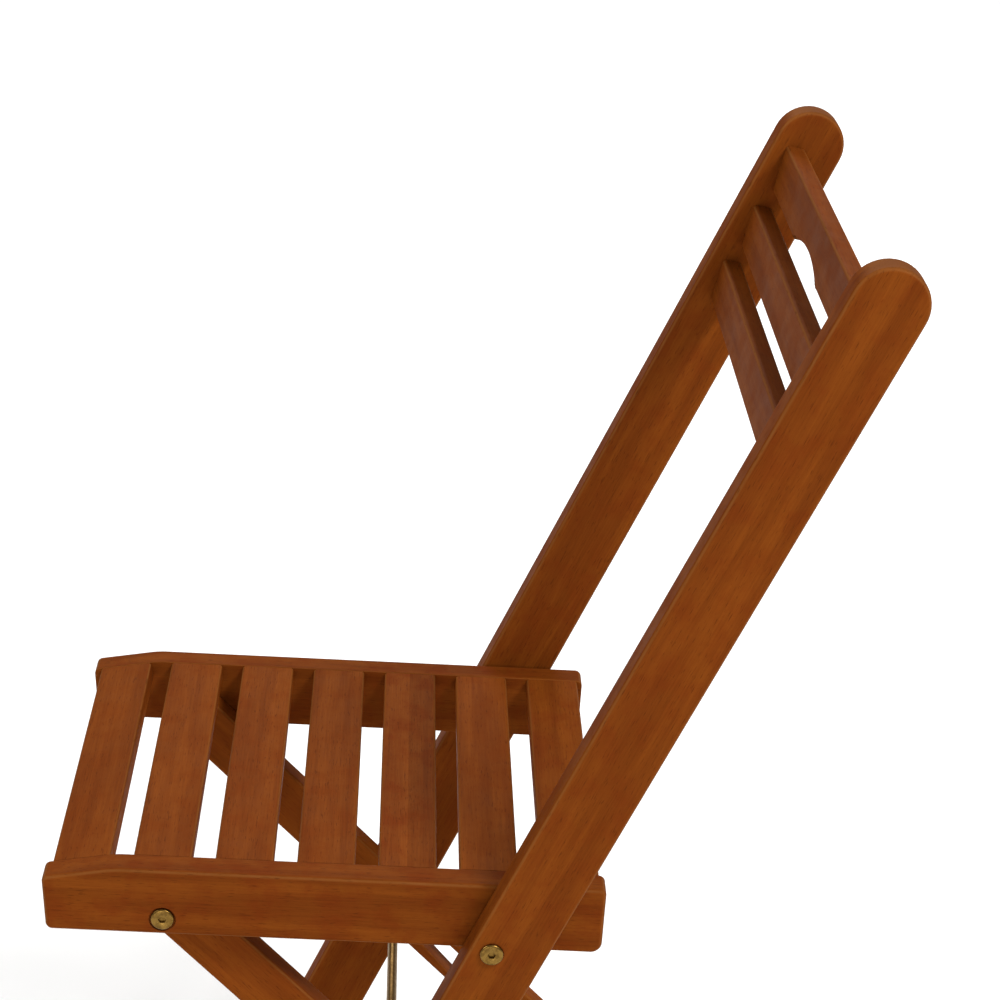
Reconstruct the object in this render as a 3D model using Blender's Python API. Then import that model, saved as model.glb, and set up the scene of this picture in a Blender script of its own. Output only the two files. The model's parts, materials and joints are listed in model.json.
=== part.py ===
"""Folding slatted garden chair in oiled hardwood, with brass fittings.

Frame: +X to the sitter's left, +Y to the back, +Z up, origin on the floor at the middle of the
chair's box. Each upright is one board that runs from the rounded top of the back down to the
front foot. The seat turns on two bolts in the uprights, the rear legs turn on two bolts in the
seat's rails, and the cross rod in the uprights slides in a slot in each rear leg.
"""
import math

import bmesh
import bpy
from mathutils import Matrix, Vector

MM = 0.001
GAP = 0.3 * MM                      # between faces that touch

# Boards, from the outside in: upright, seat rail, rear leg
WIDTH = 396 * MM
UPRIGHT_THICK = 23 * MM
UPRIGHT_WIDE = 52.5 * MM
RAIL_THICK = 22 * MM
RAIL_HIGH = 52.5 * MM
LEG_THICK = 20 * MM
LEG_WIDE = 41 * MM
UPRIGHT_TO_RAIL = 2.4 * MM
RAIL_TO_LEG = 1.6 * MM

# Side view
PIVOT_HIGH = 400 * MM               # seat pivot above the floor
UPRIGHT_LEAN = math.radians(25.4)   # from upright, to the back
UPRIGHT_ABOVE = 562 * MM            # along the upright, from the seat pivot to the top
PIVOT_FORWARD = 11 * MM             # of the upright's centre line
SEAT_SLOPE = math.radians(2.5)      # down to the back
RAIL_FRONT = 320 * MM               # ahead of the pivot
RAIL_BACK = 80 * MM
RAIL_ABOVE = 39.5 * MM              # rail top above the pivot
NOSE_LONG = 51 * MM                 # front of the rail's top, which bends down
NOSE_DROP = 9.5 * MM
NOSE_UNDERCUT = 3 * MM              # the front end slants back to its lower corner
LEG_PIVOT_AHEAD = 234 * MM          # of the seat pivot
ROD_BELOW = 179 * MM                # along the upright, from the seat pivot
ROD_FORWARD = 6.2 * MM              # of the upright's centre line

# Slats and stretchers
SEAT_SLATS = 7
SLAT_WIDE = 41.5 * MM
SLAT_THICK = 14 * MM
SLAT_START = 5 * MM                 # from the rail's front end
SLAT_END = 4.3 * MM                 # from its back end
BACK_SLAT_THICK = 15 * MM
BACK_SLAT_TURN = math.radians(12)   # steeper than the upright
BACK_SLAT_FORWARD = 12.3 * MM       # front face ahead of the upright's centre line
BACK_SLATS = {                      # middle below the upright's top, height
    "back_slat_top": (51 * MM, 37.5 * MM),
    "back_slat_middle": (101.2 * MM, 35 * MM),
    "back_slat_lower": (149.5 * MM, 35 * MM),
}
HANDHOLD_LONG = 115 * MM
HANDHOLD_DEEP = 9 * MM
STRETCHER_WIDE = 36 * MM
STRETCHER_THICK = 18 * MM
FOOT_TO_STRETCHER = 4.46 * MM       # from a folded rear foot to the front stretcher
SLOT_TO_STRETCHER = 23.94 * MM      # from the slot's lower end to the rear stretcher
TENON_LONG = 12 * MM
TENON_SHOULDER = 3 * MM
BACK_TENON_SHOULDER = 2 * MM

# Fittings
ROD_THICK = 8 * MM
SLOT_PLAY = 1 * MM                  # on each side of the rod
ROD_IN_UPRIGHT = 12 * MM
BOLT_THICK = 6 * MM
ROD_BOLT_THICK = 4 * MM
ROD_BOLT_LONG = 32 * MM
HEAD_WIDE = 17 * MM
HEAD_THICK = 2.5 * MM
HEAD_PROUD = 1.3 * MM               # of a leg bolt, which passes the upright
SOCKET_WIDE = 5 * MM
SOCKET_DEEP = 1.2 * MM
NUT_WIDE = 12 * MM
NUT_LONG = 8 * MM
DOME_NUT_WIDE = 13 * MM
DOME_NUT_THICK = 5 * MM
WASHER_WIDE = 18 * MM

# Rounding
UPRIGHT_EDGE = 3.5 * MM
RAIL_EDGE = 3 * MM
LEG_EDGE = 3 * MM
SLAT_EDGE = 2.5 * MM
BACK_SLAT_EDGE = 3 * MM
RAIL_CORNER = 5 * MM
RAIL_BACK_CORNER = 8 * MM
NOSE_BEND = 60 * MM
EDGE_STEPS = 2
ARC_STEPS = 12
PATH_STEPS = 24
ROUND_SIDES = 24

# Worked out
UPRIGHT_X = WIDTH / 2 - UPRIGHT_THICK
RAIL_OUT_X = UPRIGHT_X - UPRIGHT_TO_RAIL
RAIL_X = RAIL_OUT_X - RAIL_THICK
LEG_OUT_X = RAIL_X - RAIL_TO_LEG
LEG_X = LEG_OUT_X - LEG_THICK
SLATS_LONG = RAIL_FRONT + RAIL_BACK - SLAT_START - SLAT_END
SLAT_STEP = (SLATS_LONG - SLAT_WIDE) / (SEAT_SLATS - 1)
SLOT_WIDE = ROD_THICK + 2 * SLOT_PLAY


def turned(y, z, angle):
    """A side-view point turned about the X axis."""
    return (y * math.cos(angle) - z * math.sin(angle), y * math.sin(angle) + z * math.cos(angle))


def rounded(corners):
    """Side-view points of a convex or bent outline whose corners (y, z, radius) are arcs."""
    points = []
    for index, (y, z, radius) in enumerate(corners):
        corner = Vector((y, z))
        before = (Vector(corners[index - 1][:2]) - corner).normalized()
        after = (Vector(corners[(index + 1) % len(corners)][:2]) - corner).normalized()
        if radius == 0:
            points.append(corner)
            continue
        half = before.angle(after) / 2
        centre = corner + (before + after).normalized() * (radius / math.sin(half))
        start = corner + before * (radius / math.tan(half)) - centre
        end = corner + after * (radius / math.tan(half)) - centre
        steps = max(2, round(ARC_STEPS * (math.pi - 2 * half) / math.pi))
        turn = -start.angle_signed(end)
        points += [centre + Matrix.Rotation(turn * step / steps, 2) @ start
                   for step in range(steps + 1)]
    return [point for index, point in enumerate(points)
            if (point - points[index - 1]).length > GAP / 10]


def rail_outline():
    low = RAIL_ABOVE - RAIL_HIGH
    return rounded([(NOSE_UNDERCUT - RAIL_FRONT, low, RAIL_CORNER),
                    (RAIL_BACK, low, RAIL_BACK_CORNER),
                    (RAIL_BACK, RAIL_ABOVE, RAIL_CORNER),
                    (NOSE_LONG - RAIL_FRONT, RAIL_ABOVE, NOSE_BEND),
                    (-RAIL_FRONT, RAIL_ABOVE - NOSE_DROP, RAIL_CORNER)])


def side_view():
    """Where each pivot is, seen from the side, and how each board is turned."""
    front_y = min(turned(y, z, -SEAT_SLOPE)[0] for y, z in rail_outline())
    line_y, line_z = turned(PIVOT_FORWARD, 0, -UPRIGHT_LEAN)
    top_y = turned(0, UPRIGHT_ABOVE - UPRIGHT_WIDE / 2, -UPRIGHT_LEAN)[0]
    back_y = line_y + top_y + UPRIGHT_WIDE / 2
    pivot = Vector((0, -(front_y + back_y) / 2, PIVOT_HIGH))
    line = pivot + Vector((0, line_y, line_z))
    leg = pivot + Vector((0, *turned(-LEG_PIVOT_AHEAD, 0, -SEAT_SLOPE)))
    rod = line + Vector((0, *turned(-ROD_FORWARD, -ROD_BELOW, -UPRIGHT_LEAN)))
    leg_turn = math.atan2(rod.y - leg.y, leg.z - rod.z)
    return pivot, line, leg, rod, leg_turn


PIVOT, LINE, LEG_PIVOT, ROD, LEG_TURN = side_view()
PIVOT_TO_LEG = (LEG_PIVOT - PIVOT).length
PIVOT_TO_ROD = (ROD - PIVOT).length
OPEN_ANGLE = (LEG_PIVOT - PIVOT).angle(ROD - PIVOT)
FOLD = math.pi - OPEN_ANGLE
LEG_ANGLE = (PIVOT - LEG_PIVOT).angle(ROD - LEG_PIVOT)
LEG_RATIO = LEG_ANGLE / FOLD        # rear leg's turn for each turn of the seat


def rod_in_leg(share):
    """Where the rod is in the leg's own view at a share of the fold, with an even ratio."""
    seat = OPEN_ANGLE + share * FOLD
    across = PIVOT_TO_ROD * math.sin(seat)
    along = PIVOT_TO_LEG - PIVOT_TO_ROD * math.cos(seat)
    off = math.atan2(across, along) - (LEG_ANGLE - LEG_RATIO * share * FOLD)
    reach = math.hypot(across, along)
    return -reach * math.sin(off), -reach * math.cos(off)


def clear_scene():
    for obj in list(bpy.data.objects):
        bpy.data.objects.remove(obj, do_unlink=True)


def finish(name, colour, roughness, metallic=0.0):
    material = bpy.data.materials.new(name)
    material.use_nodes = True
    shader = material.node_tree.nodes["Principled BSDF"]
    shader.inputs["Base Color"].default_value = (*colour, 1)
    shader.inputs["Roughness"].default_value = roughness
    shader.inputs["Metallic"].default_value = metallic
    return material


def empty(name, parent=None):
    obj = bpy.data.objects.new(name, None)
    bpy.context.scene.collection.objects.link(obj)
    obj.parent = parent
    return obj


def put(name, bm, parent=None, material=None):
    """Make an object of a bmesh, under the empty that carries it."""
    bmesh.ops.recalc_face_normals(bm, faces=bm.faces)
    mesh = bpy.data.meshes.new(name)
    bm.to_mesh(mesh)
    bm.free()
    mesh.shade_smooth()
    mesh.set_sharp_from_angle(angle=math.radians(35))
    obj = bpy.data.objects.new(name, mesh)
    bpy.context.scene.collection.objects.link(obj)
    obj.parent = parent
    if material:
        mesh.materials.append(material)
    return obj


def cut(obj, bm):
    """Cut a bmesh, in the object's own frame, out of the object."""
    cutter = put(obj.name + "_cutter", bm, obj)
    cutter.hide_render = True
    cutter.display_type = "WIRE"
    boolean = obj.modifiers.new("Cut", "BOOLEAN")
    boolean.operation = "DIFFERENCE"
    boolean.solver = "EXACT"
    boolean.object = cutter


def board(points, x_from, x_to, edge=0.0):
    """An outline with a thickness along X and rounded rims."""
    bm = bmesh.new()
    face = bm.faces.new([bm.verts.new((x_from, y, z)) for y, z in points])
    moved = bmesh.ops.extrude_face_region(bm, geom=[face])["geom"]
    verts = [item for item in moved if isinstance(item, bmesh.types.BMVert)]
    bmesh.ops.translate(bm, verts=verts, vec=(x_to - x_from, 0, 0))
    if edge:
        rims = [e for e in bm.edges if abs(e.verts[0].co.x - e.verts[1].co.x) < GAP]
        bmesh.ops.bevel(bm, geom=rims, offset=edge, offset_type="OFFSET", affect="EDGES",
                        segments=EDGE_STEPS, profile=0.5, material=-1)
    return bm


def box(size, centre, turn=0.0):
    bm = bmesh.new()
    bmesh.ops.create_cube(bm, size=1, matrix=Matrix.Translation(centre)
                          @ Matrix.Rotation(turn, 4, "X") @ Matrix.Diagonal((*size, 1)))
    return bm


def rod(x_from, x_to, width, y=0.0, z=0.0, edge=0.0):
    """A round bar along X."""
    bm = bmesh.new()
    bmesh.ops.create_cone(bm, cap_ends=True, segments=ROUND_SIDES, radius1=width / 2,
                          radius2=width / 2, depth=abs(x_to - x_from),
                          matrix=Matrix.Translation(((x_from + x_to) / 2, y, z))
                          @ Matrix.Rotation(math.pi / 2, 4, "Y"))
    if edge:
        far = max(x_from, x_to, key=abs)
        rim = [e for e in bm.edges if all(abs(v.co.x - far) < GAP / 3 for v in e.verts)]
        bmesh.ops.bevel(bm, geom=rim, offset=edge, offset_type="OFFSET", affect="EDGES",
                        segments=EDGE_STEPS, profile=0.5, material=-1)
    return bm


def together(*parts):
    """Bmeshes that don't meet, as one cutter, or that share a wall, as one turned shape."""
    mesh = bpy.data.meshes.new("together")
    whole = bmesh.new()
    for part in parts:
        part.to_mesh(mesh)
        part.free()
        whole.from_mesh(mesh)
    bpy.data.meshes.remove(mesh)
    return whole


def turned_profile(profile):
    """A round piece along X from its (x, radius) profile, closed on the axis or on itself."""
    bm = bmesh.new()
    verts = [bm.verts.new((x, radius, 0)) for x, radius in profile]
    edges = [bm.edges.new(pair) for pair in zip(verts, verts[1:])]
    if profile[0][1] > 0:
        edges.append(bm.edges.new((verts[-1], verts[0])))
    bmesh.ops.spin(bm, geom=edges, cent=(0, 0, 0), axis=(1, 0, 0), angle=math.tau,
                   steps=ROUND_SIDES, use_merge=True)
    bmesh.ops.remove_doubles(bm, verts=bm.verts, dist=GAP / 100)
    return bm


def slat(half_long, wide, thick, edge, shoulder):
    """A slat along X, with rounded edges and a stub tenon at each end."""
    bm = box((2 * half_long, wide, thick), (0, 0, 0))
    long_edges = [e for e in bm.edges if abs(e.verts[0].co.x - e.verts[1].co.x) > half_long]
    bmesh.ops.bevel(bm, geom=long_edges, offset=edge, offset_type="OFFSET", affect="EDGES",
                    segments=EDGE_STEPS, profile=0.5, material=-1)
    ends = [f for f in bm.faces if abs(f.normal.x) > 0.9]
    for end in ends:
        side = math.copysign(1, end.normal.x)
        bmesh.ops.inset_individual(bm, faces=[end], thickness=shoulder)
        moved = bmesh.ops.extrude_discrete_faces(bm, faces=[end])["faces"]
        bmesh.ops.translate(bm, verts=moved[0].verts, vec=(side * TENON_LONG, 0, 0))
    return bm


def mortise(x_face, wide, thick, shoulder, centre=(0, 0), turn=0.0):
    """The pocket for a slat's tenon, which starts at the inner face at x_face."""
    deep = TENON_LONG + 2 * GAP
    size = (2 * deep, wide - 2 * shoulder + 2 * GAP, thick - 2 * shoulder + 2 * GAP)
    return box(size, (x_face, *centre), turn)


def to_floor(pivot, y, turn):
    """The board-frame height at which a board's line at y meets the floor."""
    return -(pivot.z + y * math.sin(turn)) / math.cos(turn)


def front_stretcher_height():
    """Its middle in the uprights' frame, just below where the folded rear legs reach."""
    foot = -to_floor(LEG_PIVOT, LEG_WIDE / 2, LEG_TURN) - PIVOT_TO_LEG
    return -(foot + FOOT_TO_STRETCHER + STRETCHER_WIDE / 2)


def rear_stretcher_height():
    """Its middle in the rear legs' frame, below the slot."""
    slot_end = rod_in_leg(1)[1] - SLOT_WIDE / 2
    return slot_end - SLOT_TO_STRETCHER - STRETCHER_WIDE / 2


def upright_outline():
    half = UPRIGHT_WIDE / 2
    return rounded([(-half, to_floor(LINE, -half, -UPRIGHT_LEAN), 0),
                    (half, to_floor(LINE, half, -UPRIGHT_LEAN), 0),
                    (half, UPRIGHT_ABOVE, half),
                    (-half, UPRIGHT_ABOVE, half)])


def leg_outline():
    half = LEG_WIDE / 2
    return rounded([(-half, to_floor(LEG_PIVOT, -half, LEG_TURN), 0),
                    (half, to_floor(LEG_PIVOT, half, LEG_TURN), 0),
                    (half, half, half),
                    (-half, half, half)])


def slot_outline():
    """The slot that the rod slides in. Its upper side is straight, and its lower side follows
    the rod, which leaves the leg's middle line a little when both joints turn evenly."""
    half = SLOT_WIDE / 2
    path = [Vector(rod_in_leg(step / PATH_STEPS)) for step in range(PATH_STEPS + 1)]
    ways = [(after - before).normalized() for before, after in zip(path, path[1:])]
    lower = [here + half * Vector((way.y, -way.x))
             for here, way in zip(path[1:], [(a + b).normalized() for a, b in zip(ways, ways[1:])])]
    first = math.atan2(-ways[0].x, ways[0].y)
    last = math.atan2(-ways[-1].x, ways[-1].y) % math.tau

    def arc(middle, start, end):
        turns = [start + (end - start) * step / ARC_STEPS for step in range(ARC_STEPS + 1)]
        return [middle + half * Vector((math.cos(turn), math.sin(turn))) for turn in turns]

    return arc(path[0], 0, first) + lower + arc(path[-1], last, math.tau)


def make_uprights(frame, wood):
    for side, name in ((1, "left"), (-1, "right")):
        inner, outer = side * UPRIGHT_X, side * WIDTH / 2
        obj = put("upright_" + name, board(upright_outline(), inner, outer, UPRIGHT_EDGE),
                  frame, wood)
        pockets = [rod(inner - side * MM, outer + side * MM, BOLT_THICK + 2 * GAP, -PIVOT_FORWARD),
                   rod(inner - side * MM, outer + side * MM, ROD_BOLT_THICK + 2 * GAP,
                       -ROD_FORWARD, -ROD_BELOW)]
        for below, high in BACK_SLATS.values():
            y, z = back_slat_centre(below)
            pockets.append(mortise(inner, BACK_SLAT_THICK, high, BACK_TENON_SHOULDER,
                                   (y, z), BACK_SLAT_TURN))
        pockets.append(mortise(inner, STRETCHER_THICK, STRETCHER_WIDE, TENON_SHOULDER,
                               (0, front_stretcher_height())))
        cut(obj, together(*pockets))
        cut(obj, rod(inner - side * MM, inner + side * (ROD_IN_UPRIGHT + GAP),
                     ROD_THICK + 2 * GAP, -ROD_FORWARD, -ROD_BELOW))


def back_slat_centre(below):
    """The middle of a back slat's thickness, in the uprights' frame."""
    half = BACK_SLAT_THICK / 2
    return (half * math.cos(BACK_SLAT_TURN) - BACK_SLAT_FORWARD,
            UPRIGHT_ABOVE - below + half * math.sin(BACK_SLAT_TURN))


def make_back_slats(frame, wood):
    for name, (below, high) in BACK_SLATS.items():
        bm = slat(UPRIGHT_X - GAP, BACK_SLAT_THICK, high, BACK_SLAT_EDGE, BACK_TENON_SHOULDER)
        obj = put(name, bm, frame, wood)
        obj.location = (0, *back_slat_centre(below))
        obj.rotation_euler = (BACK_SLAT_TURN, 0, 0)
        if name == "back_slat_top":
            radius = (HANDHOLD_LONG ** 2 / 4 + HANDHOLD_DEEP ** 2) / (2 * HANDHOLD_DEEP)
            cutter = bmesh.new()
            bmesh.ops.create_cone(cutter, cap_ends=True, segments=ROUND_SIDES * 6,
                                  radius1=radius, radius2=radius, depth=2 * BACK_SLAT_THICK,
                                  matrix=Matrix.Translation((0, 0, HANDHOLD_DEEP - high / 2 - radius))
                                  @ Matrix.Rotation(math.pi / 2, 4, "X"))
            cut(obj, cutter)


def make_front_stretcher(frame, wood):
    bm = slat(UPRIGHT_X - GAP, STRETCHER_THICK, STRETCHER_WIDE, SLAT_EDGE, TENON_SHOULDER)
    put("front_stretcher", bm, frame, wood).location = (0, 0, front_stretcher_height())


def slat_places():
    """Each seat slat's middle on the rail and its turn; the front one lies on the nose."""
    nose = math.atan2(NOSE_DROP, NOSE_LONG)
    sink = SLAT_THICK / 2 + GAP
    for index in range(SEAT_SLATS):
        y = SLAT_START - RAIL_FRONT + SLAT_WIDE / 2 + index * SLAT_STEP
        if y < NOSE_LONG - RAIL_FRONT:
            drop = (NOSE_LONG - RAIL_FRONT - y) * math.tan(nose)
            yield y + sink * math.sin(nose), RAIL_ABOVE - drop - sink * math.cos(nose), nose
        else:
            yield y, RAIL_ABOVE - sink, 0.0


def make_seat(seat, wood):
    places = list(slat_places())
    for number, (y, z, turn) in enumerate(places, 1):
        bm = slat(RAIL_X - GAP, SLAT_WIDE, SLAT_THICK, SLAT_EDGE, TENON_SHOULDER)
        obj = put(f"seat_slat_{number}", bm, seat, wood)
        obj.location = (0, y, z)
        obj.rotation_euler = (turn, 0, 0)
    for side, name in ((1, "left"), (-1, "right")):
        inner, outer = side * RAIL_X, side * RAIL_OUT_X
        obj = put("seat_rail_" + name, board(rail_outline(), inner, outer, RAIL_EDGE), seat, wood)
        pockets = [rod(inner - side * MM, outer + side * MM, BOLT_THICK + 2 * GAP),
                   rod(inner - side * MM, outer + side * MM, BOLT_THICK + 2 * GAP,
                       -LEG_PIVOT_AHEAD)]
        pockets += [mortise(inner, SLAT_WIDE, SLAT_THICK, TENON_SHOULDER, (y, z), turn)
                    for y, z, turn in places]
        cut(obj, together(*pockets))
        recess = HEAD_THICK - HEAD_PROUD + GAP
        cut(obj, together(rod(inner - side * MM, inner + side * (NUT_LONG + GAP),
                              NUT_WIDE + 2 * GAP),
                          rod(outer - side * recess, outer + side * MM, HEAD_WIDE + 2 * GAP,
                              -LEG_PIVOT_AHEAD)))


def make_rear_legs(leg, wood):
    for side, name in ((1, "left"), (-1, "right")):
        inner, outer = side * LEG_X, side * LEG_OUT_X
        obj = put("rear_leg_" + name, board(leg_outline(), inner, outer, LEG_EDGE), leg, wood)
        cut(obj, together(rod(inner - side * MM, outer + side * MM, BOLT_THICK + 2 * GAP),
                          board(slot_outline(), inner - side * MM, outer + side * MM),
                          mortise(inner, STRETCHER_THICK, STRETCHER_WIDE, TENON_SHOULDER,
                                  (0, rear_stretcher_height()))))
    bm = slat(LEG_X - GAP, STRETCHER_THICK, STRETCHER_WIDE, SLAT_EDGE, TENON_SHOULDER)
    put("rear_stretcher", bm, leg, wood).location = (0, 0, rear_stretcher_height())


def bolt(side, under, thick, long):
    """A round-headed bolt whose head lies on the face at under, with a socket in the head."""
    shank = thick / 2
    head = HEAD_WIDE / 2
    soft = HEAD_THICK / 3
    top = under + HEAD_THICK
    profile = [(under - long, 0), (under - long, shank), (under, shank), (under, head),
               (top - soft, head), (top - soft / 3, head - soft / 2), (top, head - soft * 1.5),
               (top, SOCKET_WIDE / 2), (top - SOCKET_DEEP, SOCKET_WIDE / 2), (top - SOCKET_DEEP, 0)]
    return turned_profile([(side * x, radius) for x, radius in profile])


def ring(side, x_from, x_to, wide, bore):
    profile = [(x_from, bore / 2), (x_from, wide / 2), (x_to, wide / 2), (x_to, bore / 2)]
    return turned_profile([(side * x, radius) for x, radius in profile])


def dome_nut(side, face):
    """A domed nut whose flat side lies on the leg's inner face, with its thread bore."""
    wide = DOME_NUT_WIDE / 2
    bore = BOLT_THICK / 2 + GAP
    dome = [(face - DOME_NUT_THICK * math.sin(turn), wide * math.cos(turn))
            for turn in [step * math.pi / 12 for step in range(1, 6)]]
    profile = ([(face - DOME_NUT_THICK / 2, 0), (face - DOME_NUT_THICK / 2, bore), (face, bore),
                (face, wide)] + dome + [(face - DOME_NUT_THICK, 0)])
    return turned_profile([(side * x, radius) for x, radius in profile])


def make_fittings(frame, seat, leg, brass, steel):
    bore = BOLT_THICK + 2 * GAP
    for side, name in ((1, "left"), (-1, "right")):
        head = WIDTH / 2 + GAP
        shank = head - RAIL_X - NUT_LONG / 3
        obj = put("seat_bolt_" + name, bolt(side, head, BOLT_THICK, shank), frame, brass)
        obj.location = (0, -PIVOT_FORWARD, 0)
        nut = ring(side, RAIL_X + GAP, RAIL_X + NUT_LONG, NUT_WIDE, bore)
        put("seat_nut_" + name, nut, seat, steel)
        put("seat_washer_" + name, ring(side, RAIL_OUT_X + GAP, UPRIGHT_X - GAP, WASHER_WIDE, bore),
            seat, steel)

        head = WIDTH / 2 + GAP
        obj = put("rod_bolt_" + name, bolt(side, head, ROD_BOLT_THICK, ROD_BOLT_LONG), frame, brass)
        obj.location = (0, -ROD_FORWARD, -ROD_BELOW)

        head = RAIL_OUT_X - (HEAD_THICK - HEAD_PROUD)
        obj = put("leg_bolt_" + name, bolt(side, head, BOLT_THICK, head - LEG_X + 1.5 * MM), seat, brass)
        obj.location = (0, -LEG_PIVOT_AHEAD, 0)
        put("leg_washer_" + name, ring(side, LEG_OUT_X + GAP, RAIL_X - GAP, WASHER_WIDE, bore),
            leg, steel)
        put("leg_nut_" + name, dome_nut(side, LEG_X - GAP), leg, brass)

    half = UPRIGHT_X + ROD_IN_UPRIGHT
    hole = ROD_BOLT_THICK / 2 + GAP
    deep = half - (WIDTH / 2 + GAP - ROD_BOLT_LONG) + GAP
    profile = [(-half + deep, 0), (-half + deep, hole), (-half, hole), (-half, ROD_THICK / 2),
               (half, ROD_THICK / 2), (half, hole), (half - deep, hole), (half - deep, 0)]
    put("cross_rod", turned_profile(profile), frame, brass).location = (0, -ROD_FORWARD, -ROD_BELOW)


def main():
    clear_scene()
    wood = finish("oiled_hardwood", (0.30, 0.10, 0.03), 0.5)
    brass = finish("brass", (0.55, 0.42, 0.20), 0.3, 1.0)
    steel = finish("zinc_steel", (0.5, 0.5, 0.48), 0.35, 1.0)

    frame = empty("upright_line")
    frame.location = LINE
    frame.rotation_euler = (-UPRIGHT_LEAN, 0, 0)
    seat = empty("seat_pivot")
    seat.location = PIVOT
    seat.rotation_euler = (-SEAT_SLOPE, 0, 0)
    leg = empty("leg_pivot", seat)
    leg.location = (0, -LEG_PIVOT_AHEAD, 0)
    leg.rotation_euler = (LEG_TURN + SEAT_SLOPE, 0, 0)

    make_uprights(frame, wood)
    make_back_slats(frame, wood)
    make_front_stretcher(frame, wood)
    make_seat(seat, wood)
    make_rear_legs(leg, wood)
    make_fittings(frame, seat, leg, brass, steel)


main()
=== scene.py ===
# Folding slatted garden chair: oiled eucalyptus boards that turn on brass-plated bolts.
# +X is the sitter's left, +Y the back, +Z up.
# Sizes are millimetres and degrees unless a note says more.
import json
import math

import bmesh
import bpy
from mathutils import Matrix, Vector


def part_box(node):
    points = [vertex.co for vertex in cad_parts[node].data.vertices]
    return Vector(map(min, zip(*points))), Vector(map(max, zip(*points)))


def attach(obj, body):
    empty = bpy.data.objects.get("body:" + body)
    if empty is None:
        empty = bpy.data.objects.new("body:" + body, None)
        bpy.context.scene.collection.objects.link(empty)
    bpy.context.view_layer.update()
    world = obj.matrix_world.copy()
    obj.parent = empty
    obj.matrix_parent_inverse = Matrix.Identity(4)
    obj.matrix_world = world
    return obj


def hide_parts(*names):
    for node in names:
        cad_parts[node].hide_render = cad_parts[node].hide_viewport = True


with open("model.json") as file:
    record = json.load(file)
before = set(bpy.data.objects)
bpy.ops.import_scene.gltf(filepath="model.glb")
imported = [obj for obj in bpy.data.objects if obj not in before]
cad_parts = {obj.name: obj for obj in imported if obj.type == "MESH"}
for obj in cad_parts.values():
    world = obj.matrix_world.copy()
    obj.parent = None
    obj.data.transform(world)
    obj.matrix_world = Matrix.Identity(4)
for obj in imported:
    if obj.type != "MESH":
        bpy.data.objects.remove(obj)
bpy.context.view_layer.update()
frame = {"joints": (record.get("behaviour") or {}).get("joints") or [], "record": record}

mm = 0.001
tiny = 0.01 * mm                     # closer than this is the same place
sides = {"left": 1, "right": -1}
headThick = 2.5                      # bolt heads; the rails are recessed for two of them
cutterProud = 1 * mm                 # how far a cutting shape stands out of the piece it cuts


def deg(angle):
    return math.radians(angle)


def middle(node):
    low, high = (Vector(corner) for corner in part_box(node))
    return (low + high) / 2


def spanX(node):
    # inner and outer X of a piece, away from the chair's middle
    low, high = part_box(node)
    return sorted((low[0], high[0]), key=abs)


# where the boards turn
hinge = {joint["name"]: Vector(joint["pos_m"]) for joint in frame["joints"]}
seatPivot = hinge["seat_fold"]
legPivot = hinge["leg_fold"]
rodMiddle = middle("cross_rod")


# mesh helpers

def floorEdges(bm):
    return [e for e in bm.edges if all(v.co.z < tiny for v in e.verts)]


def bevelEdges(bm, edges, radius, segments):
    bmesh.ops.bevel(bm, geom=edges, offset=radius, offset_type="OFFSET", affect="EDGES",
                    segments=segments, profile=0.5, material=-1, clamp_overlap=False)


def boardFrom(corners, xFrom, xTo, place):
    # a board from its side-view corners (y, z, radius), thick along X
    bm = bmesh.new()
    spots = [place @ Vector((0, y * mm, z * mm)) for y, z, radius in corners]
    face = bm.faces.new([bm.verts.new((xFrom, spot.y, spot.z)) for spot in spots])
    moved = bmesh.ops.extrude_face_region(bm, geom=[face])["geom"]
    verts = [item for item in moved if isinstance(item, bmesh.types.BMVert)]
    bmesh.ops.translate(bm, verts=verts, vec=(xTo - xFrom, 0, 0))
    bmesh.ops.recalc_face_normals(bm, faces=bm.faces)
    for spot, (y, z, radius) in zip(spots, corners):
        if radius:
            edge = [e for e in bm.edges
                    if all((v.co.yz - spot.yz).length < tiny for v in e.verts)]
            bend = edge[0].calc_face_angle()
            bevelEdges(bm, edge, radius * mm * math.tan(bend / 2), max(3, round(bend / deg(8))))
            bmesh.ops.remove_doubles(bm, verts=bm.verts, dist=tiny)
    return bm


def roundRims(bm, radius, footRadius=0, innerRadius=0):
    # rounds both long faces' rims, then the foot's own rim, which is sawn and only eased
    onFloor = set(floorEdges(bm))
    rims = [e for e in bm.edges
            if abs(e.verts[0].co.x - e.verts[1].co.x) < tiny and e not in onFloor]
    outer = max(abs(v.co.x) for v in bm.verts)
    outerRims = [e for e in rims if abs(e.verts[0].co.x) > outer - tiny]
    innerRims = [e for e in rims if e not in outerRims]
    bevelEdges(bm, outerRims, radius * mm, 5)
    bevelEdges(bm, innerRims, (innerRadius or radius) * mm, 5)
    if footRadius:
        bevelEdges(bm, floorEdges(bm), footRadius * mm, 2)
    bmesh.ops.remove_doubles(bm, verts=bm.verts, dist=tiny)


def roundBar(xFrom, xTo, wide, at, segments=64):
    bm = bmesh.new()
    bmesh.ops.create_cone(bm, cap_ends=True, segments=segments, radius1=wide * mm / 2,
                          radius2=wide * mm / 2, depth=abs(xTo - xFrom),
                          matrix=Matrix.Translation(((xFrom + xTo) / 2, at.y, at.z))
                          @ Matrix.Rotation(deg(90), 4, "Y"))
    return bm


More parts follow.
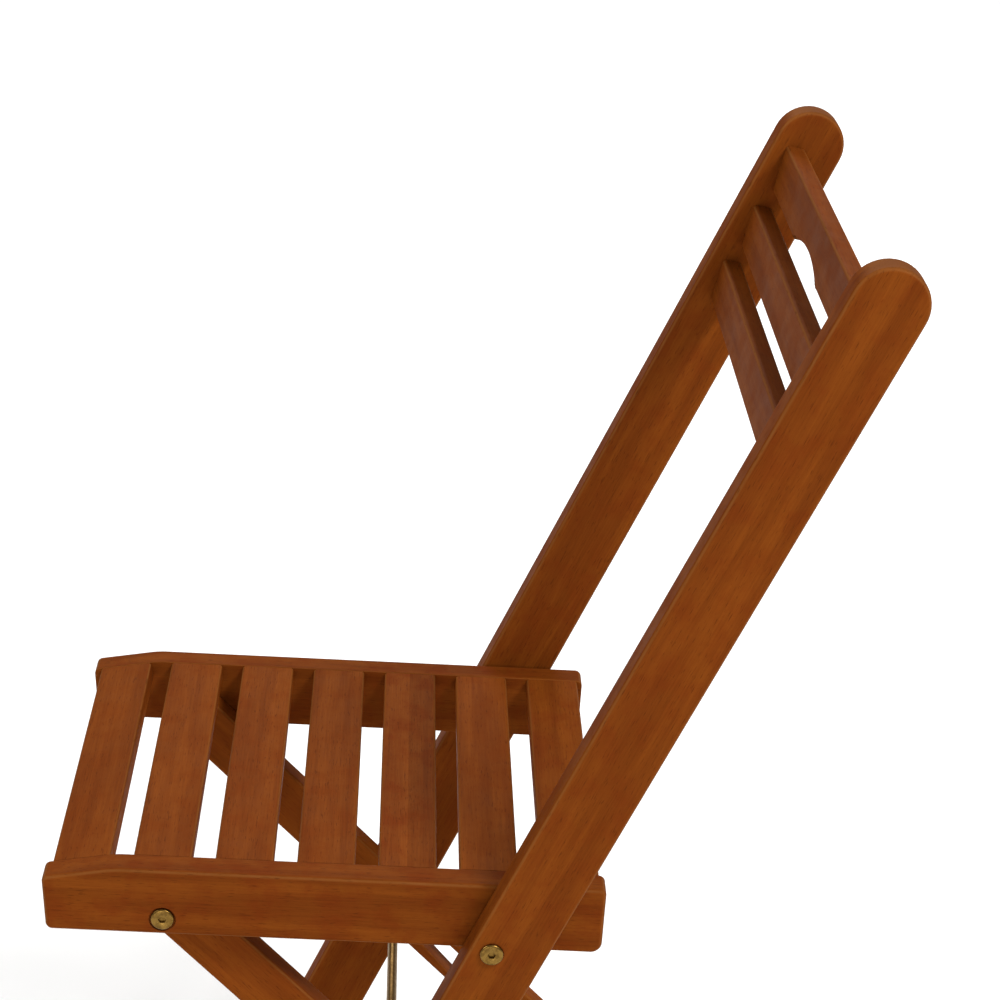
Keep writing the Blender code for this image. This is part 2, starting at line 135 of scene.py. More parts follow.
def cutAway(bm, cutters):
    # takes the cutters out of a mesh
    scratch = []
    for shape in [bm] + cutters:
        bmesh.ops.recalc_face_normals(shape, faces=shape.faces)
        mesh = bpy.data.meshes.new("scratch")
        shape.to_mesh(mesh)
        shape.free()
        obj = bpy.data.objects.new("scratch", mesh)
        bpy.context.scene.collection.objects.link(obj)
        scratch.append(obj)
    for cutter in scratch[1:]:
        boolean = scratch[0].modifiers.new("cut", "BOOLEAN")
        boolean.operation = "DIFFERENCE"
        boolean.solver = "EXACT"
        boolean.object = cutter
    shown = scratch[0].evaluated_get(bpy.context.evaluated_depsgraph_get())
    bm = bmesh.new()
    bm.from_mesh(shown.to_mesh())
    shown.to_mesh_clear()
    for obj in scratch:
        mesh = obj.data
        bpy.data.objects.remove(obj)
        bpy.data.meshes.remove(mesh)
    return bm


def easeRim(bm, xFace, at, reach, radius, segments=2):
    # eases the rim of a cut on one face, within reach of a place
    rim = [e for e in bm.edges
           if e.is_manifold and e.calc_face_angle() > deg(60)
           and all(abs(v.co.x - xFace) < tiny and (v.co.yz - at.yz).length < reach
                   for v in e.verts)]
    bevelEdges(bm, rim, radius * mm, segments)


def slatFrom(halfLong, wide, thick, edge, tenon, shoulder, place):
    # a slat along X with rounded edges and a stub tenon at each end
    bm = bmesh.new()
    bmesh.ops.create_cube(bm, size=1, matrix=Matrix.Diagonal((2 * (halfLong - tenon * mm),
                                                              wide * mm, thick * mm, 1)))
    longEdges = [e for e in bm.edges if abs(e.verts[0].co.x - e.verts[1].co.x) > halfLong]
    bevelEdges(bm, longEdges, edge * mm, 5)
    for end in [f for f in bm.faces if abs(f.normal.x) > 0.9]:
        out = math.copysign(tenon * mm, end.normal.x)
        bmesh.ops.inset_individual(bm, faces=[end], thickness=shoulder * mm)
        moved = bmesh.ops.extrude_discrete_faces(bm, faces=[end])["faces"]
        bmesh.ops.translate(bm, verts=moved[0].verts, vec=(out, 0, 0))
    bmesh.ops.transform(bm, matrix=place, verts=bm.verts)
    return bm


def turnedPiece(profile, at, steps=64):
    # a round piece along X from its (x, radius) profile in metres
    bm = bmesh.new()
    verts = [bm.verts.new((x, radius, 0)) for x, radius in profile]
    edges = [bm.edges.new(pair) for pair in zip(verts, verts[1:])]
    if profile[0][1] > 0:
        edges.append(bm.edges.new((verts[-1], verts[0])))
    bmesh.ops.spin(bm, geom=edges, cent=(0, 0, 0), axis=(1, 0, 0), angle=deg(360),
                   steps=steps, use_merge=True)
    bmesh.ops.remove_doubles(bm, verts=bm.verts, dist=tiny / 10)
    bmesh.ops.translate(bm, verts=bm.verts, vec=(0, at.y, at.z))
    return bm


def addPiece(name, bm, body, node, material):
    # one object that stands for a node, rides on its body and takes a finish
    bmesh.ops.recalc_face_normals(bm, faces=bm.faces)
    mesh = bpy.data.meshes.new(name)
    bm.to_mesh(mesh)
    bm.free()
    mesh.shade_smooth()
    mesh.set_sharp_from_angle(angle=deg(32))
    mesh.materials.append(material)
    obj = bpy.data.objects.new(name, mesh)
    bpy.context.scene.collection.objects.link(obj)
    weighted = obj.modifiers.new("flatFaces", "WEIGHTED_NORMAL")
    weighted.keep_sharp = True
    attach(obj, body)
    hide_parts(node)
    return obj


# materials

def hexColour(code):
    # an sRGB hex value as linear colour
    parts = [int(code[i:i + 2], 16) / 255 for i in (1, 3, 5)]
    return [p / 12.92 if p <= 0.04045 else ((p + 0.055) / 1.055) ** 2.4 for p in parts] + [1]


def addNode(tree, kind, settings={}, inputs={}, stops=()):
    # adds a node; an input is a value, or another node's output to link
    node = tree.nodes.new(kind)
    for key, value in settings.items():
        setattr(node, key, value)
    for key, value in inputs.items():
        if isinstance(value, bpy.types.NodeSocket):
            tree.links.new(value, node.inputs[key])
        else:
            node.inputs[key].default_value = value
    for index, (position, colour) in enumerate(stops):
        elements = node.color_ramp.elements
        element = elements[index] if index < 2 else elements.new(position)
        element.position, element.color = position, colour
    return node


woodLook = {
    "dark": "#65300c",               # late wood
    "light": "#72390f",              # early wood
    "red": "#612409",                # heart streaks
    "wearAndSheenGrey": "#84562b",               # where the oil has rubbed off, plus painted sheen on the rounded edges
    "pore": "#351606",
    "ringWide": 17,                  # growth bands across a board
    "fibreWide": 1.3,                # real fibres are finer; as coarse as shows
    "poreWide": 0.9,                 # real vessels are 0.2 mm; as coarse as shows
    "mottleWide": 26,
    "fibreSwing": 0.09,              # fibres are lighter or darker by this share
    # how strongly the rubbed edges with their painted sheen, the vessel lines and the sawn ends show
    "wearAndSheenShare": 0.7, "poreShare": 0.4, "endShare": 0.25,
    # the two-tone slat: width of the step between its tones, and the tone ahead of the step and
    # behind it
    "toneStepWide": 0.4, "toneAhead": 1.05, "toneBehind": 0.86,
    "roughness": 0.5,
    "grainDeep": 0.12,
    "specular": 0.01,                # kept low, or white surroundings veil the grain
    "ior": 1.47,                     # drying oil
}


def oiledEucalyptus(name, turn, shift=(0, 0, 0), tone=1.0, redness=0.3, toneStepY=None):
    # planed eucalyptus in teak oil: close red-brown grain with short dark vessel lines, a nearly
    # matt face, paler greyer rounded edges, partly oil rubbed off and partly painted sheen, and
    # darker sawn ends; turn lays the grain along the board, and shift moves the pattern
    material = bpy.data.materials.new("oiledEucalyptus." + name)
    material.use_nodes = True
    tree = material.node_tree
    look = woodLook
    coords = addNode(tree, "ShaderNodeTexCoord")
    # grain runs along Z after this turn
    placed = addNode(tree, "ShaderNodeMapping", {},
                     {"Vector": coords.outputs["Object"], "Location": shift, "Rotation": turn})
    faced = addNode(tree, "ShaderNodeMapping", {"vector_type": "VECTOR"},
                    {"Vector": coords.outputs["Normal"], "Rotation": turn})
    stretched = {}
    for key, length in (("ring", 14), ("fibre", 30), ("pore", 9)):
        stretched[key] = addNode(tree, "ShaderNodeMapping", {},
                                 {"Vector": placed.outputs[0], "Scale": (1, 1, 1 / length)})
    ring = addNode(tree, "ShaderNodeTexNoise", {},
                   {"Vector": stretched["ring"].outputs[0], "Scale": 1 / (look["ringWide"] * mm),
                    "Detail": 3.0, "Roughness": 0.55, "Distortion": 0.4})
    fibre = addNode(tree, "ShaderNodeTexNoise", {},
                    {"Vector": stretched["fibre"].outputs[0],
                     "Scale": 1 / (look["fibreWide"] * mm), "Detail": 2.0, "Roughness": 0.6})
    pore = addNode(tree, "ShaderNodeTexNoise", {},
                   {"Vector": stretched["pore"].outputs[0], "Scale": 1 / (look["poreWide"] * mm),
                    "Detail": 1.0, "Roughness": 0.5})
    mottle = addNode(tree, "ShaderNodeTexNoise", {},
                     {"Vector": placed.outputs[0], "Scale": 1 / (look["mottleWide"] * mm),
                      "Detail": 4.0, "Roughness": 0.6})
    bands = addNode(tree, "ShaderNodeMapRange", {"interpolation_type": "SMOOTHSTEP"},
                    {"Value": ring.outputs["Fac"], "From Min": 0.36, "From Max": 0.64})
    wood = addNode(tree, "ShaderNodeMix", {"data_type": "RGBA"},
                   {0: bands.outputs[0], 6: hexColour(look["dark"]), 7: hexColour(look["light"])})
    heart = addNode(tree, "ShaderNodeMapRange", {"interpolation_type": "SMOOTHSTEP"},
                    {"Value": mottle.outputs["Fac"], "From Min": 0.4, "From Max": 0.68,
                     "To Max": redness})
    wood = addNode(tree, "ShaderNodeMix", {"data_type": "RGBA"},
                   {0: heart.outputs[0], 6: wood.outputs[2], 7: hexColour(look["red"])})
    shade = addNode(tree, "ShaderNodeMapRange", {},
                    {"Value": fibre.outputs["Fac"], "From Min": 0.3, "From Max": 0.7,
                     "To Min": (1 - look["fibreSwing"]) * tone,
                     "To Max": (1 + look["fibreSwing"]) * tone})
    wood = addNode(tree, "ShaderNodeVectorMath", {"operation": "SCALE"},
                   {0: wood.outputs[2], "Scale": shade.outputs[0]})
    if toneStepY is not None:
        # darker behind a sharp line along the slat's middle
        spot = addNode(tree, "ShaderNodeSeparateXYZ", {}, {0: coords.outputs["Object"]})
        half = look["toneStepWide"] / 2 * mm
        halfTone = addNode(tree, "ShaderNodeMapRange", {},
                        {"Value": spot.outputs["Y"], "From Min": toneStepY - half,
                         "From Max": toneStepY + half, "To Min": look["toneAhead"],
                         "To Max": look["toneBehind"]})
        wood = addNode(tree, "ShaderNodeVectorMath", {"operation": "SCALE"},
                       {0: wood.outputs[0], "Scale": halfTone.outputs[0]})
    # rubbed edges with painted sheen: paler where the surface faces neither across nor along the
    # board
    size = addNode(tree, "ShaderNodeVectorMath", {"operation": "ABSOLUTE"},
                   {0: faced.outputs[0]})
    axes = addNode(tree, "ShaderNodeSeparateXYZ", {}, {0: size.outputs[0]})
    flat = addNode(tree, "ShaderNodeMath", {"operation": "MAXIMUM"},
                   {0: axes.outputs["X"], 1: axes.outputs["Y"]})
    wearAndSheenMask = addNode(tree, "ShaderNodeMapRange", {"interpolation_type": "SMOOTHSTEP"},
                   {"Value": flat.outputs[0], "From Min": 0.98, "From Max": 0.76,
                    "To Max": look["wearAndSheenShare"]})
    wearAndSheenHere = addNode(tree, "ShaderNodeMath", {"operation": "MULTIPLY"},
                       {0: wearAndSheenMask.outputs[0], 1: mottle.outputs["Fac"]})
    wood = addNode(tree, "ShaderNodeMix", {"data_type": "RGBA"},
                   {0: wearAndSheenHere.outputs[0], 6: wood.outputs[0], 7: hexColour(look["wearAndSheenGrey"])})
    # vessel lines
    line = addNode(tree, "ShaderNodeMapRange", {"interpolation_type": "SMOOTHSTEP"},
                   {"Value": pore.outputs["Fac"], "From Min": 0.6, "From Max": 0.74,
                    "To Max": look["poreShare"]})
    wood = addNode(tree, "ShaderNodeMix", {"data_type": "RGBA"},
                   {0: line.outputs[0], 6: wood.outputs[2], 7: hexColour(look["pore"])})
    # sawn ends drink more oil
    ends = addNode(tree, "ShaderNodeMapRange", {"interpolation_type": "SMOOTHSTEP"},
                   {"Value": axes.outputs["Z"], "From Min": 0.55, "From Max": 0.95,
                    "To Max": look["endShare"]})
    wood = addNode(tree, "ShaderNodeMix", {"data_type": "RGBA"},
                   {0: ends.outputs[0], 6: wood.outputs[2], 7: hexColour(look["pore"])})
    rough = addNode(tree, "ShaderNodeMapRange", {},
                    {"Value": mottle.outputs["Fac"], "From Min": 0.3, "From Max": 0.7,
                     "To Min": look["roughness"] - 0.07, "To Max": look["roughness"] + 0.08})
    height = addNode(tree, "ShaderNodeMath", {"operation": "SUBTRACT"},
                     {0: fibre.outputs["Fac"], 1: line.outputs[0]})
    bump = addNode(tree, "ShaderNodeBump", {},
                   {"Height": height.outputs[0], "Strength": 0.25,
                    "Distance": look["grainDeep"] * mm})
    shader = tree.nodes["Principled BSDF"]
    shader.inputs["IOR"].default_value = look["ior"]
    shader.inputs["Specular IOR Level"].default_value = look["specular"]
    tree.links.new(wood.outputs[2], shader.inputs["Base Color"])
    tree.links.new(rough.outputs[0], shader.inputs["Roughness"])
    tree.links.new(bump.outputs[0], shader.inputs["Normal"])
    return material


metalLook = {
    "filmWide": 4,                   # patches of tarnish
    "speckWide": 0.7,                # real turning marks are finer; as coarse as shows
    "markDeep": 0.05,
}


def wornMetal(name, clean, tarnish, roughness, tarnishShare):
    # plated and rolled: bright on the rubbed parts, brown film in patches, fine turning marks
    material = bpy.data.materials.new(name)
    material.use_nodes = True
    tree = material.node_tree
    coords = addNode(tree, "ShaderNodeTexCoord")
    film = addNode(tree, "ShaderNodeTexNoise", {},
                   {"Vector": coords.outputs["Object"],
                    "Scale": 1 / (metalLook["filmWide"] * mm), "Detail": 4.0,
                    "Roughness": 0.65})
    speck = addNode(tree, "ShaderNodeTexNoise", {},
                    {"Vector": coords.outputs["Object"],
                     "Scale": 1 / (metalLook["speckWide"] * mm), "Detail": 2.0})
    patch = addNode(tree, "ShaderNodeMapRange", {"interpolation_type": "SMOOTHSTEP"},
                    {"Value": film.outputs["Fac"], "From Min": 0.38, "From Max": 0.66,
                     "To Max": tarnishShare})
    colour = addNode(tree, "ShaderNodeMix", {"data_type": "RGBA"},
                     {0: patch.outputs[0], 6: hexColour(clean), 7: hexColour(tarnish)})
    rough = addNode(tree, "ShaderNodeMapRange", {},
                    {"Value": film.outputs["Fac"], "From Min": 0.3, "From Max": 0.7,
                     "To Min": roughness - 0.06, "To Max": roughness + 0.14})
    bump = addNode(tree, "ShaderNodeBump", {},
                   {"Height": speck.outputs["Fac"], "Strength": 0.2,
                    "Distance": metalLook["markDeep"] * mm})
    shader = tree.nodes["Principled BSDF"]
    shader.inputs["Metallic"].default_value = 1.0
    tree.links.new(colour.outputs[2], shader.inputs["Base Color"])
    tree.links.new(rough.outputs[0], shader.inputs["Roughness"])
    tree.links.new(bump.outputs[0], shader.inputs["Normal"])
    return material


brass = wornMetal("brassPlatedSteel", "#80622f", "#4d3717", 0.24, 0.6)
rodBrass = wornMetal("drawnBrassRod", "#7f6233", "#5a411c", 0.34, 0.4)
zinc = wornMetal("zincPlatedSteel", "#b9b9b4", "#8b8a80", 0.34, 0.5)
alongX = (0, deg(90), 0)             # turns a slat's length onto the grain's axis


# uprights, from the rounded top of the back to the front feet
upright = {
    "lean": 25.4, "wide": 52.5, "above": 562, "boltAhead": 11, "edge": 3.5, "footEdge": 1.2,
    "tone": 1.0, "redness": 0.35,
}
uprightPlace = (Matrix.Translation(seatPivot) @ Matrix.Rotation(deg(-upright["lean"]), 4, "X")
                @ Matrix.Translation((0, upright["boltAhead"] * mm, 0)))


def toFloor(place, y):
    # how far down a board's own frame, in millimetres, its line at y meets the floor
    start = place @ Vector((0, y * mm, 0))
    down = place.to_3x3() @ Vector((0, 0, 1))
    return -start.z / down.z / mm


def makeUprights(size):
    half = size["wide"] / 2
    corners = [(-half, toFloor(uprightPlace, -half), 0), (half, toFloor(uprightPlace, half), 0),
               (half, size["above"], half), (-half, size["above"], half)]
    for name in sides:
        node = "upright_" + name
        inner, outer = spanX(node)
        bm = boardFrom(corners, inner, outer, uprightPlace)
        roundRims(bm, size["edge"], size["footEdge"])
        wood = oiledEucalyptus(node, (deg(size["lean"]), 0, 0), (0.3 * outer, 0, 0),
                               size["tone"], size["redness"])
        addPiece("upright." + name, bm, "back_frame", node, wood)


makeUprights(upright)
print("uprights made")


# back slats, the top one with a hand-hold in its lower edge
backSlats = {
    "turn": -13.4, "thick": 15, "edge": 3, "tenon": 12, "shoulder": 2,
    "wide": {"top": 37.5, "middle": 35, "lower": 35},
    "handholdLong": 115, "handholdDeep": 9, "handholdEdge": 2.5, "handholdSteps": 360,
    "tone": 0.95, "redness": 0.2,
}


def makeBackSlats(size):
    for name, wide in size["wide"].items():
        node = "back_slat_" + name
        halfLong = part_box(node)[1][0]
        place = Matrix.Translation(middle(node)) @ Matrix.Rotation(deg(size["turn"]), 4, "X")
        bm = slatFrom(halfLong, size["thick"], wide, size["edge"], size["tenon"],
                      size["shoulder"], Matrix())
        if name == "top":
            deep, reach = size["handholdDeep"], size["handholdLong"] / 2
            radius = (reach ** 2 + deep ** 2) / (2 * deep)
            crown = deep - wide / 2
            arch = bmesh.new()
            bmesh.ops.create_cone(arch, cap_ends=True, segments=size["handholdSteps"],
                                  radius1=radius * mm, radius2=radius * mm,
                                  depth=2 * size["thick"] * mm,
                                  matrix=Matrix.Translation((0, 0, (crown - radius) * mm))
                                  @ Matrix.Rotation(deg(90), 4, "X"))
            bm = cutAway(bm, [arch])
            rim = [e for e in bm.edges if e.is_manifold and e.calc_face_angle() > deg(40)
                   and all(abs(v.co.x) < reach * mm and v.co.z < crown * mm + tiny
                           for v in e.verts)]
            bevelEdges(bm, rim, size["handholdEdge"] * mm, 4)
        bmesh.ops.transform(bm, matrix=place, verts=bm.verts)
        wood = oiledEucalyptus(node, alongX, (0, 0, 0.5 * wide * mm),
                               size["tone"], size["redness"])
        addPiece("backSlat." + name, bm, "back_frame", node, wood)


makeBackSlats(backSlats)
print("back slats made")


# stretchers between the feet
stretchers = {
    "wide": 36, "thick": 18, "edge": 2.5, "tenon": 12, "shoulder": 3,
    "tone": 0.95, "redness": 0.3,
}
legTurn = math.atan2(rodMiddle.y - legPivot.y, legPivot.z - rodMiddle.z)


def makeStretchers(size):
    for node, body, turn in (("front_stretcher", "back_frame", -deg(upright["lean"])),
                             ("rear_stretcher", "rear_legs", legTurn)):
        place = Matrix.Translation(middle(node)) @ Matrix.Rotation(turn, 4, "X")
        bm = slatFrom(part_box(node)[1][0], size["thick"], size["wide"], size["edge"], size["tenon"],
                      size["shoulder"], place)
        wood = oiledEucalyptus(node, alongX, (0, 0, 0.02), size["tone"], size["redness"])
        name = "stretcher." + node.split("_")[0]
        addPiece(name, bm, body, node, wood)


makeStretchers(stretchers)
print("stretchers made")


# seat: two rails and seven slats
rail = {
    "slope": 2.5, "edge": 3.5, "innerEdge": 0.8, "recess": 19.2, "headPlay": 0.3,
    "nutRecess": 12.6, "nutDeep": 8.3, "recessEdge": 0.4, "tone": 0.97, "redness": 0.5,
    # side view about the seat bolt: y, z, corner radius
    "corners": [(-317, -13, 5), (80, -13, 8), (80, 39.5, 5), (-269, 39.5, 60), (-320, 30, 5)],
}
seatPlace = Matrix.Translation(seatPivot) @ Matrix.Rotation(deg(-rail["slope"]), 4, "X")
seatSlats = {
    "count": 7, "wide": 41.5, "thick": 14, "edge": 2.5, "tenon": 12, "shoulder": 3,
    "noseTurn": 10.55,               # the front slat lies on the rails' nose
    # slat 6's tone of 1.14 is painted light: it makes up for the near upright's shadow falling on it
    "tone": [1.02, 1.03, 1.03, 0.98, 1.0, 1.14, 1.02],
    "redness": [0.2, 0.25, 0.3, 0.3, 0.5, 0.2, 0.4],
    "twoToneSlat": 5,                      # this one is darker behind a line along its middle
}


def makeRails(size):
    for name, side in sides.items():
        node = "seat_rail_" + name
        inner, outer = spanX(node)
        bm = boardFrom(size["corners"], inner, outer, seatPlace)
        roundRims(bm, size["edge"], 0, size["innerEdge"])
        recessFloor = (spanX("leg_bolt_" + name)[1]
                       - side * (headThick + size["headPlay"]) * mm)
        nutFloor = inner + side * size["nutDeep"] * mm
        bm = cutAway(bm, [roundBar(recessFloor, outer + side * cutterProud, size["recess"],
                                   legPivot),
                          roundBar(inner - side * cutterProud, nutFloor, size["nutRecess"],
                                   seatPivot)])
        easeRim(bm, outer, legPivot, size["recess"] * mm, size["recessEdge"])
        easeRim(bm, inner, seatPivot, size["nutRecess"] * mm, size["recessEdge"])
        wood = oiledEucalyptus(node, (deg(90 + size["slope"]), 0, 0), (0.2 * outer, 0, 0.4),
                               size["tone"], size["redness"])
        addPiece("rail." + name, bm, "seat", node, wood)


def makeSeatSlats(size):
    for index in range(size["count"]):
        node = f"seat_slat_{index + 1}"
        turn = -rail["slope"] + (size["noseTurn"] if index == 0 else 0)
        place = Matrix.Translation(middle(node)) @ Matrix.Rotation(deg(turn), 4, "X")
        bm = slatFrom(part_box(node)[1][0], size["wide"], size["thick"], size["edge"], size["tenon"],
                      size["shoulder"], place)
        toneStepY = middle(node).y if index + 1 == size["twoToneSlat"] else None
        wood = oiledEucalyptus(node, alongX, (0.01 * index, 0.03 * index, 0.2 * index),
                               size["tone"][index], size["redness"][index], toneStepY)
        addPiece(f"seatSlat.{index + 1}", bm, "seat", node, wood)


makeRails(rail)
makeSeatSlats(seatSlats)
print("seat made")


# rear legs, slotted for the cross rod
leg = {
    "wide": 41, "edge": 3, "footEdge": 1.2, "slotWide": 10, "slotEdge": 1.2,
    # the legs' tone of 1.12 is painted light: it lifts the near leg, which sits in shade under the
    # rail
    "slotSteps": 24, "slotEndSteps": 16, "tone": 1.12, "redness": 0.2,
}
legPlace = Matrix.Translation(legPivot) @ Matrix.Rotation(legTurn, 4, "X")

# how far the seat turns, and the rear legs' turn for each degree of it
behaviour = frame["record"]["behaviour"]
foldTurn = deg(next(j["range_deg"][1] for j in behaviour["joints"] if j["name"] == "seat_fold"))
legRatio = next(c["ratio"] for c in behaviour["couplings"] if c["joint"] == "leg_fold")


def rodInLeg(share):
    # the rod's place in the leg's own frame when this share of the fold is done
    seatTurn = -foldTurn * share
    swung = seatPivot + Matrix.Rotation(seatTurn, 3, "X") @ (legPivot - seatPivot)
    back = Matrix.Rotation(-seatTurn * (1 - legRatio), 3, "X")
    return (legPlace.inverted() @ (back @ (rodMiddle - swung) + legPivot)).yz / mm


def slotCorners(size):
    # straight on its upper side; the lower side follows the rod, so it never meets the wood
    half = size["slotWide"] / 2
    path = [rodInLeg(step / size["slotSteps"]) for step in range(size["slotSteps"] + 1)]
    ways = [(after - before).normalized() for before, after in zip(path, path[1:])]
    lower = [here + half * Vector((way.y, -way.x))
             for here, way in zip(path[1:], [(a + b).normalized() for a, b in zip(ways, ways[1:])])]
    first = math.atan2(-ways[0].x, ways[0].y)
    last = math.atan2(-ways[-1].x, ways[-1].y) % math.tau

    def roundEnd(middleSpot, start, end):
        turns = [start + (end - start) * step / size["slotEndSteps"]
                 for step in range(size["slotEndSteps"] + 1)]
        return [middleSpot + half * Vector((math.cos(turn), math.sin(turn))) for turn in turns]

    spots = roundEnd(path[0], 0, first) + lower + roundEnd(path[-1], last, math.tau)
    return [(spot.x, spot.y, 0) for spot in spots]


def makeRearLegs(size):
    half = size["wide"] / 2
    corners = [(-half, toFloor(legPlace, -half), 0), (half, toFloor(legPlace, half), 0),
               (half, half, half), (-half, half, half)]
    slot = slotCorners(size)
    slotLow, slotHigh = min(z for y, z, radius in slot), max(z for y, z, radius in slot)
    slotMiddle = legPlace @ Vector((0, 0, (slotLow + slotHigh) / 2 * mm))
    slotReach = (slotHigh - slotLow) / 2 * mm + tiny
    for name, side in sides.items():
        node = "rear_leg_" + name
        inner, outer = spanX(node)
        bm = boardFrom(corners, inner, outer, legPlace)
        roundRims(bm, size["edge"], size["footEdge"])
        bm = cutAway(bm, [boardFrom(slot, inner - side * cutterProud,
                                    outer + side * cutterProud, legPlace)])
        for face in (inner, outer):
            easeRim(bm, face, slotMiddle, slotReach, size["slotEdge"], 3)
        wood = oiledEucalyptus(node, (-legTurn, 0, 0), (0.4 * outer, 0.1, 0),
                               size["tone"], size["redness"])
        addPiece("rearLeg." + name, bm, "rear_legs", node, wood)


makeRearLegs(leg)
print("rear legs made")


# bolts, nuts, washers and the cross rod
fittings = {
    "headWide": 17, "headEdge": 1.7, "headUnderEdge": 0.3, "dishWide": 10, "dishDeep": 0.5,
    "socketWide": 5, "socketDeep": 2.3, "socketEdge": 0.25,
    "seatBoltThick": 6, "rodBoltThick": 4, "legBoltThick": 6,
    "nutBore": 6.6, "seatNutWide": 12, "seatNutEdge": 0.8, "legNutWide": 13,
    "washerWide": 18, "washerEdge": 0.2, "ringSteps": 48, "rodThick": 8, "rodEdge": 0.6,
}
cornersPerFlats = 1.15               # a hexagon's width across its corners, for 1 across its flats


def boltPiece(size, side, node, thick):
    # a flat round head with a rolled rim, a plain shank, and a hexagon socket in the head
    inner, outer = spanX(node)
    at = middle(node)
    under = abs(outer) - headThick * mm
    wide, edge = size["headWide"] / 2 * mm, size["headEdge"] * mm
    underEdge = size["headUnderEdge"] * mm
    dishFloor = abs(outer) - size["dishDeep"] * mm
    rim = [(abs(outer) - edge * (1 - math.cos(turn)), wide - edge * (1 - math.sin(turn)))
           for turn in [deg(angle) for angle in (90, 67, 45, 22, 0)]]
    profile = ([(abs(inner), 0), (abs(inner), thick / 2 * mm), (under, thick / 2 * mm),
                (under, wide - underEdge), (under + underEdge, wide)] + rim
               + [(abs(outer), size["dishWide"] / 2 * mm),
                  (dishFloor, size["dishWide"] / 3 * mm), (dishFloor, 0)])
    bm = turnedPiece([(side * x, radius) for x, radius in profile], at)
    socket = roundBar(outer - side * size["socketDeep"] * mm, outer + side * cutterProud,
                      size["socketWide"] * cornersPerFlats, at, 6)
    bm = cutAway(bm, [socket])
    easeRim(bm, side * dishFloor, at, size["socketWide"] * mm, size["socketEdge"])
    return bm


def ringPiece(node, side, wide, bore, edge):
    inner, outer = (abs(x) for x in spanX(node))
    wide, bore, edge = wide / 2 * mm, bore / 2 * mm, edge * mm
    profile = [(inner, bore), (inner, wide - edge), (inner + edge, wide), (outer - edge, wide),
               (outer, wide - edge), (outer, bore)]
    return turnedPiece([(side * x, radius) for x, radius in profile], middle(node),
                       fittings["ringSteps"])


def domeNut(node, side, wide):
    inner, outer = (abs(x) for x in spanX(node))
    dome = [(outer - (outer - inner) * math.sin(turn), wide / 2 * mm * math.cos(turn))
            for turn in [deg(angle) for angle in range(10, 90, 10)]]
    profile = [(outer, 0), (outer, wide / 2 * mm)] + dome + [(inner, 0)]
    return turnedPiece([(side * x, radius) for x, radius in profile], middle(node),
                       fittings["ringSteps"])


def makeFittings(size):
    for name, side in sides.items():
        for kind, body, thick in (("seat_bolt", "back_frame", size["seatBoltThick"]),
                                  ("rod_bolt", "back_frame", size["rodBoltThick"]),
                                  ("leg_bolt", "seat", size["legBoltThick"])):
            node = f"{kind}_{name}"
            addPiece(f"{kind.split('_')[0]}Bolt.{name}", boltPiece(size, side, node, thick),
                     body, node, brass)
        addPiece("seatNut." + name,
                 ringPiece("seat_nut_" + name, side, size["seatNutWide"], size["nutBore"],
                           size["seatNutEdge"]),
                 "seat", "seat_nut_" + name, zinc)
        for kind, body in (("seat_washer", "seat"), ("leg_washer", "rear_legs")):
            node = f"{kind}_{name}"
            addPiece(f"{kind.split('_')[0]}Washer.{name}",
                     ringPiece(node, side, size["washerWide"], size["nutBore"],
                               size["washerEdge"]),
                     body, node, zinc)
        addPiece("legNut." + name, domeNut("leg_nut_" + name, side, size["legNutWide"]),
                 "rear_legs", "leg_nut_" + name, brass)
    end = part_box("cross_rod")[1][0]
    thick, edge = size["rodThick"] / 2 * mm, size["rodEdge"] * mm
    profile = [(-end, 0), (-end, thick - edge), (edge - end, thick), (end - edge, thick),
               (end, thick - edge), (end, 0)]
    addPiece("crossRod", turnedPiece(profile, rodMiddle), "back_frame", "cross_rod",
             rodBrass)


makeFittings(fittings)
print("fittings made")


# camera, floor and lights
camera = {
    "yaw": 89.97, "pitch": 25.201, "roll": 0.448, "away": 1.893964,   # degrees, metres
    "aheadOfBolt": -52.317, "aboveBolt": 193.113,
    "lens": 91.98, "sensor": 36, "shiftX": 0.08, "shiftY": 0.085,
}


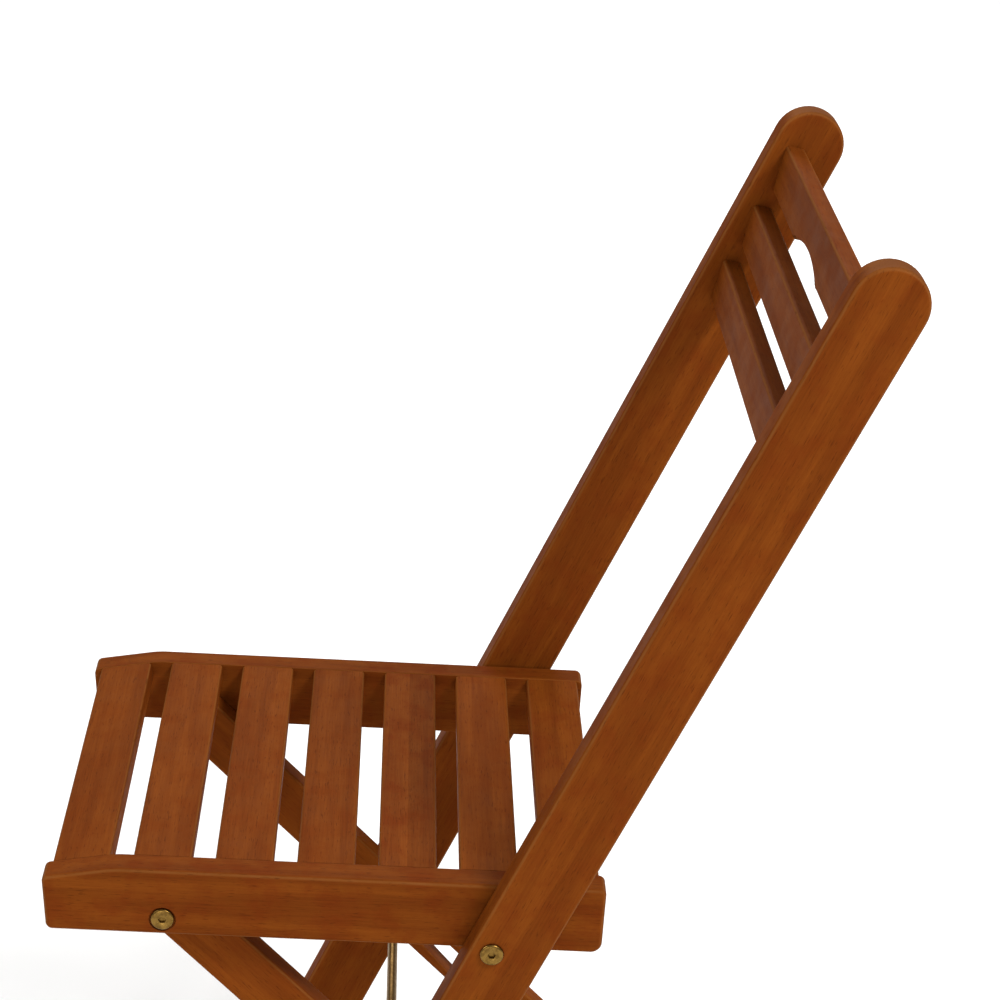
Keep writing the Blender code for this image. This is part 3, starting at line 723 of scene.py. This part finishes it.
def addCamera(look):
    yaw, pitch, roll = deg(look["yaw"]), deg(look["pitch"]), deg(look["roll"])
    forward = Vector((-math.sin(yaw) * math.cos(pitch), math.cos(yaw) * math.cos(pitch),
                      -math.sin(pitch)))
    right = forward.cross(Vector((0, 0, 1))).normalized()
    up = right.cross(forward)
    rightRolled = right * math.cos(roll) + up * math.sin(roll)
    upRolled = up * math.cos(roll) - right * math.sin(roll)
    target = seatPivot + Vector((0, look["aheadOfBolt"], look["aboveBolt"])) * mm
    data = bpy.data.cameras.new("camera")
    data.lens = look["lens"]
    data.sensor_width = look["sensor"]
    data.shift_x, data.shift_y = look["shiftX"], look["shiftY"]
    obj = bpy.data.objects.new("camera", data)
    turn = Matrix((rightRolled, upRolled, -forward)).transposed().to_4x4()
    obj.matrix_world = Matrix.Translation(target - forward * look["away"]) @ turn
    bpy.context.scene.collection.objects.link(obj)
    bpy.context.scene.camera = obj


def addFloor(radius, colour):
    bm = bmesh.new()
    bmesh.ops.create_circle(bm, cap_ends=True, radius=radius, segments=96)
    mesh = bpy.data.meshes.new("floor")
    bm.to_mesh(mesh)
    bm.free()
    # matt white paper sweep
    material = bpy.data.materials.new("mattPaper")
    material.use_nodes = True
    shader = material.node_tree.nodes["Principled BSDF"]
    shader.inputs["Base Color"].default_value = hexColour(colour)
    shader.inputs["Roughness"].default_value = 0.9
    shader.inputs["Specular IOR Level"].default_value = 0.1
    mesh.materials.append(material)
    obj = bpy.data.objects.new("floor", mesh)
    bpy.context.scene.collection.objects.link(obj)


lights = {                           # place, aim and size in metres, power in watts
    "key": {"at": (1.5, 1.6, 2.9), "aim": (0, 0, 0.45), "size": 0.8, "power": 86},
    "front": {"at": (0, -2.4, 2.2), "aim": (0, 0, 0.45), "size": 1.6, "power": 24},
    "side": {"at": (2.8, -0.6, 0.7), "aim": (0, 0, 0.3), "size": 1.2, "power": 18},
    "backdrop": {"at": (-3.2, 0, 2.6), "aim": (-3.2, 0, 0), "size": 3.0, "power": 95},
}
worldGlow = 0.48


def addLights():
    for name, look in lights.items():
        data = bpy.data.lights.new(name, "AREA")
        data.size = look["size"]
        data.energy = look["power"]
        obj = bpy.data.objects.new(name, data)
        obj.location = look["at"]
        aim = Vector(look["aim"]) - obj.location
        obj.rotation_euler = aim.to_track_quat("-Z", "Y").to_euler()
        bpy.context.scene.collection.objects.link(obj)
    world = bpy.data.worlds.new("studio")
    world.use_nodes = True
    world.node_tree.nodes["Background"].inputs["Color"].default_value = (1, 1, 1, 1)
    world.node_tree.nodes["Background"].inputs["Strength"].default_value = worldGlow
    bpy.context.scene.world = world


addCamera(camera)
addFloor(9, "#fbfbfa")
addLights()
bpy.context.scene.view_settings.view_transform = "Standard"
print("camera, floor and lights placed")
